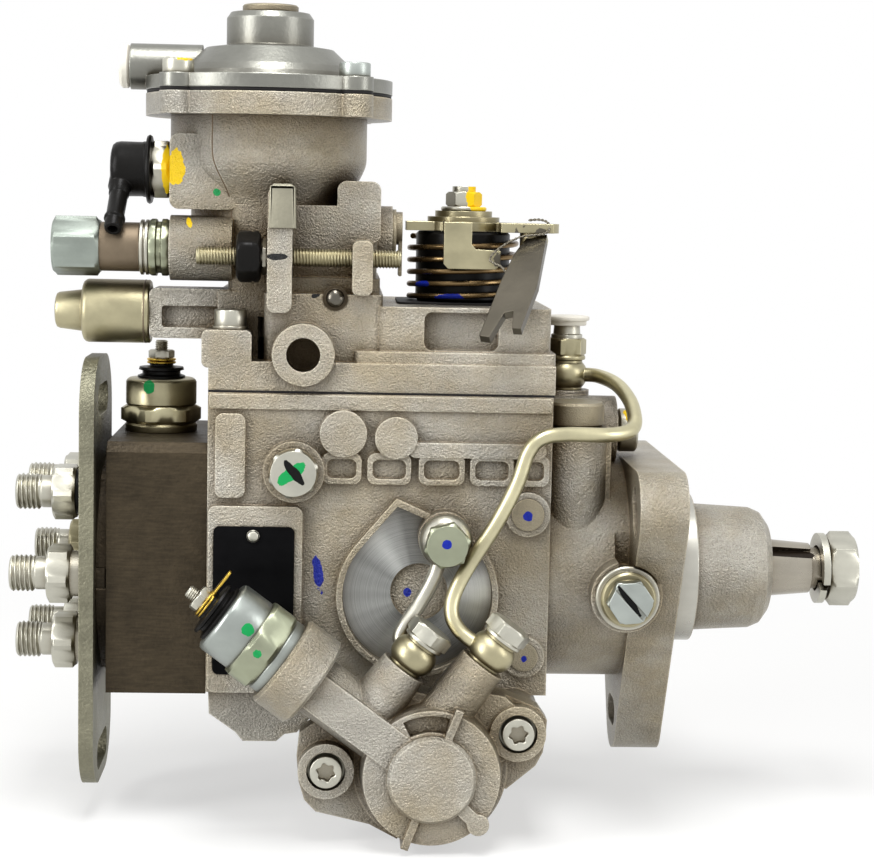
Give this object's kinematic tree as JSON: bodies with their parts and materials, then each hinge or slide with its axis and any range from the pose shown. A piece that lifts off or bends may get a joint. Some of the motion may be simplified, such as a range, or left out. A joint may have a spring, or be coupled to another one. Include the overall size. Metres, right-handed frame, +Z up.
{
  "type": "diesel injection pump",
  "caption": "Distributor diesel injection pump with mounting flange, boost compensator, throttle lever, timing device and rear delivery outlets",
  "frame": {"origin": "centre of the mounting flange's front face, on the drive shaft's axis", "axes": "+X out of the drive end along the shaft, +Z up, -Y the side with the timing cover and the sloping solenoid"},
  "size_m": [0.2816, 0.1392, 0.2648],
  "materials": {
    "cast_aluminium": "as-cast die-cast aluminium, matt",
    "machined_aluminium": "smooth pressure-cast aluminium",
    "zinc_steel": "bright zinc-plated steel",
    "yellow_zinc_steel": "yellow passivated zinc plate",
    "dark_iron": "machined cast iron, darkened by oil",
    "bare_steel": "ground steel",
    "spring_steel": "oil-tempered spring wire",
    "bearing_bronze": "bearing bronze",
    "black_plastic": "black moulded plastic",
    "black_rubber": "moulded rubber",
    "white_plastic": "white moulded plastic",
    "black_plate": "bare black plate"
  },
  "bodies": {
    "pump": {"pump_housing": "cast_aluminium", "distributor_head": "dark_iron", "rear_bracket": "yellow_zinc_steel", "governor_cover": "cast_aluminium", "cover_gasket": "black_rubber", "cover_screws": "zinc_steel", "boost_cover": "machined_aluminium", "boost_inlet_cap": "white_plastic", "boost_diaphragm": "black_rubber", "boost_spring": "spring_steel", "throttle_bush": "black_plastic", "throttle_spring": "spring_steel", "stop_screw": "zinc_steel", "return_elbow": "black_plastic", "fuel_inlet_union": "zinc_steel", "idle_cylinder": "zinc_steel", "shutoff_solenoid": "zinc_steel", "solenoid_terminals": "black_plastic", "delivery_holders": "zinc_steel", "valve_springs": "spring_steel", "timing_cover": "cast_aluminium", "timing_end_cover": "cast_aluminium", "timing_spring": "spring_steel", "timing_solenoid": "zinc_steel", "pipes": "yellow_zinc_steel", "banjo_bolts": "zinc_steel", "overflow_fitting": "zinc_steel", "housing_plugs": "zinc_steel", "blank_plate": "black_plate", "shaft_bearings": "bearing_bronze", "feed_pump_ring": "bare_steel", "distributor_barrel": "bare_steel", "plunger_springs": "spring_steel", "governor_shaft": "bare_steel", "governor_spring": "spring_steel"},
    "drive_line": {"drive_shaft": "bare_steel", "shaft_nut": "zinc_steel", "feed_pump_rotor": "bare_steel", "drive_gear": "bare_steel", "coupling_cross": "bare_steel", "cam_disc": "bare_steel", "distributor_plunger": "bare_steel"},
    "cage": {"flyweight_cage": "bare_steel"},
    "weight_1": {"flyweight_1": "bare_steel"},
    "weight_2": {"flyweight_2": "bare_steel"},
    "weight_3": {"flyweight_3": "bare_steel"},
    "weight_4": {"flyweight_4": "bare_steel"},
    "sleeve": {"sliding_sleeve": "bare_steel"},
    "lever": {"governor_lever": "bare_steel"},
    "spool": {"control_spool": "bare_steel"},
    "timing_piston_body": {"timing_piston": "bare_steel"},
    "ring": {"roller_ring": "bare_steel"},
    "roller_1": {"cam_roller_1": "bare_steel"},
    "roller_2": {"cam_roller_2": "bare_steel"},
    "roller_3": {"cam_roller_3": "bare_steel"},
    "throttle": {"throttle_lever": "yellow_zinc_steel", "throttle_shaft": "bare_steel"},
    "boost_rod_body": {"boost_rod": "bare_steel"},
    "shutoff": {"shutoff_plunger": "bare_steel"},
    "delivery": {"delivery_valves": "bare_steel"}
  },
  "joints": [
    {"name": "drive_spin", "type": "hinge", "parent": "pump", "child": "drive_line", "pos_m": [0, 0, 0], "axis": [1, 0, 0], "continuous": true},
    {"name": "cage_spin", "type": "hinge", "parent": "pump", "child": "cage", "pos_m": [-0.05, 0, 0.0465], "axis": [1, 0, 0], "continuous": true},
    {"name": "sleeve_slide", "type": "slide", "parent": "pump", "child": "sleeve", "axis": [-1, 0, 0], "range_m": [0, 0.0035], "stiffness_N_per_m": 3000, "springref_m": -0.003, "deforming": ["governor_spring"]},
    {"name": "weight_1_tilt", "type": "hinge", "parent": "cage", "child": "weight_1", "pos_m": [-0.06, 0, 0.0625], "axis": [0, 1, 0], "range_deg": [0, 24.2]},
    {"name": "weight_2_tilt", "type": "hinge", "parent": "cage", "child": "weight_2", "pos_m": [-0.06, -0.016, 0.0465], "axis": [0, 0, 1], "range_deg": [0, 24.2]},
    {"name": "weight_3_tilt", "type": "hinge", "parent": "cage", "child": "weight_3", "pos_m": [-0.06, 0, 0.0305], "axis": [0, -1, 0], "range_deg": [0, 24.2]},
    {"name": "weight_4_tilt", "type": "hinge", "parent": "cage", "child": "weight_4", "pos_m": [-0.06, 0.016, 0.0465], "axis": [0, 0, -1], "range_deg": [0, 24.2]},
    {"name": "lever_swing", "type": "hinge", "parent": "pump", "child": "lever", "pos_m": [-0.1345, 0, 0.024], "axis": [0, -1, 0], "range_deg": [0, 10.1], "deforming": ["governor_spring"]},
    {"name": "spool_slide", "type": "slide", "parent": "pump", "child": "spool", "axis": [1, 0, 0], "range_m": [0, 0.0026]},
    {"name": "timing_slide", "type": "slide", "parent": "pump", "child": "timing_piston_body", "axis": [0, 1, 0], "range_m": [0, 0.01], "stiffness_N_per_m": 8000, "springref_m": -0.002, "deforming": ["timing_spring"]},
    {"name": "ring_turn", "type": "hinge", "parent": "pump", "child": "ring", "pos_m": [-0.08, 0, 0], "axis": [1, 0, 0], "range_deg": [0, 10.4]},
    {"name": "roller_1_spin", "type": "hinge", "parent": "ring", "child": "roller_1", "pos_m": [-0.0859, -0.0253, 0], "axis": [0, -1, 0], "continuous": true},
    {"name": "roller_2_spin", "type": "hinge", "parent": "ring", "child": "roller_2", "pos_m": [-0.0859, 0.01265, -0.02191], "axis": [0, 0.5, -0.866], "continuous": true},
    {"name": "roller_3_spin", "type": "hinge", "parent": "ring", "child": "roller_3", "pos_m": [-0.0859, 0.01265, 0.02191], "axis": [0, 0.5, 0.866], "continuous": true},
    {"name": "throttle_turn", "type": "hinge", "parent": "pump", "child": "throttle", "pos_m": [-0.07, 0, 0.1], "axis": [0, 0, 1], "range_deg": [0, 40], "stiffness_Nm_per_rad": 0.4, "springref_deg": -40.11, "deforming": ["throttle_spring"]},
    {"name": "boost_rod_slide", "type": "slide", "parent": "pump", "child": "boost_rod_body", "axis": [0, 0, -1], "range_m": [0, 0.004], "stiffness_N_per_m": 2500, "springref_m": -0.008, "deforming": ["boost_spring", "boost_diaphragm"]},
    {"name": "shutoff_slide", "type": "slide", "parent": "pump", "child": "shutoff", "axis": [0, 0, 1], "range_m": [0, 0.002], "stiffness_N_per_m": 1500, "springref_m": -0.005, "deforming": ["valve_springs"]},
    {"name": "delivery_lift", "type": "slide", "parent": "pump", "child": "delivery", "axis": [-1, 0, 0], "range_m": [0, 0.002], "stiffness_N_per_m": 4000, "springref_m": -0.003, "deforming": ["valve_springs"]}
  ],
  "couplings": [
    {"joint": "cage_spin", "follows": "drive_spin", "ratio": -1.5833},
    {"joint": "weight_1_tilt", "follows": "sleeve_slide", "rad_per_m": 120},
    {"joint": "weight_2_tilt", "follows": "sleeve_slide", "rad_per_m": 120},
    {"joint": "weight_3_tilt", "follows": "sleeve_slide", "rad_per_m": 120},
    {"joint": "weight_4_tilt", "follows": "sleeve_slide", "rad_per_m": 120},
    {"joint": "lever_swing", "follows": "sleeve_slide", "rad_per_m": 50},
    {"joint": "spool_slide", "follows": "sleeve_slide", "ratio": 0.73},
    {"joint": "ring_turn", "follows": "timing_slide", "rad_per_m": 18.018},
    {"joint": "roller_1_spin", "follows": "drive_spin", "ratio": 5.06},
    {"joint": "roller_2_spin", "follows": "drive_spin", "ratio": 5.06},
    {"joint": "roller_3_spin", "follows": "drive_spin", "ratio": 5.06}
  ]
}
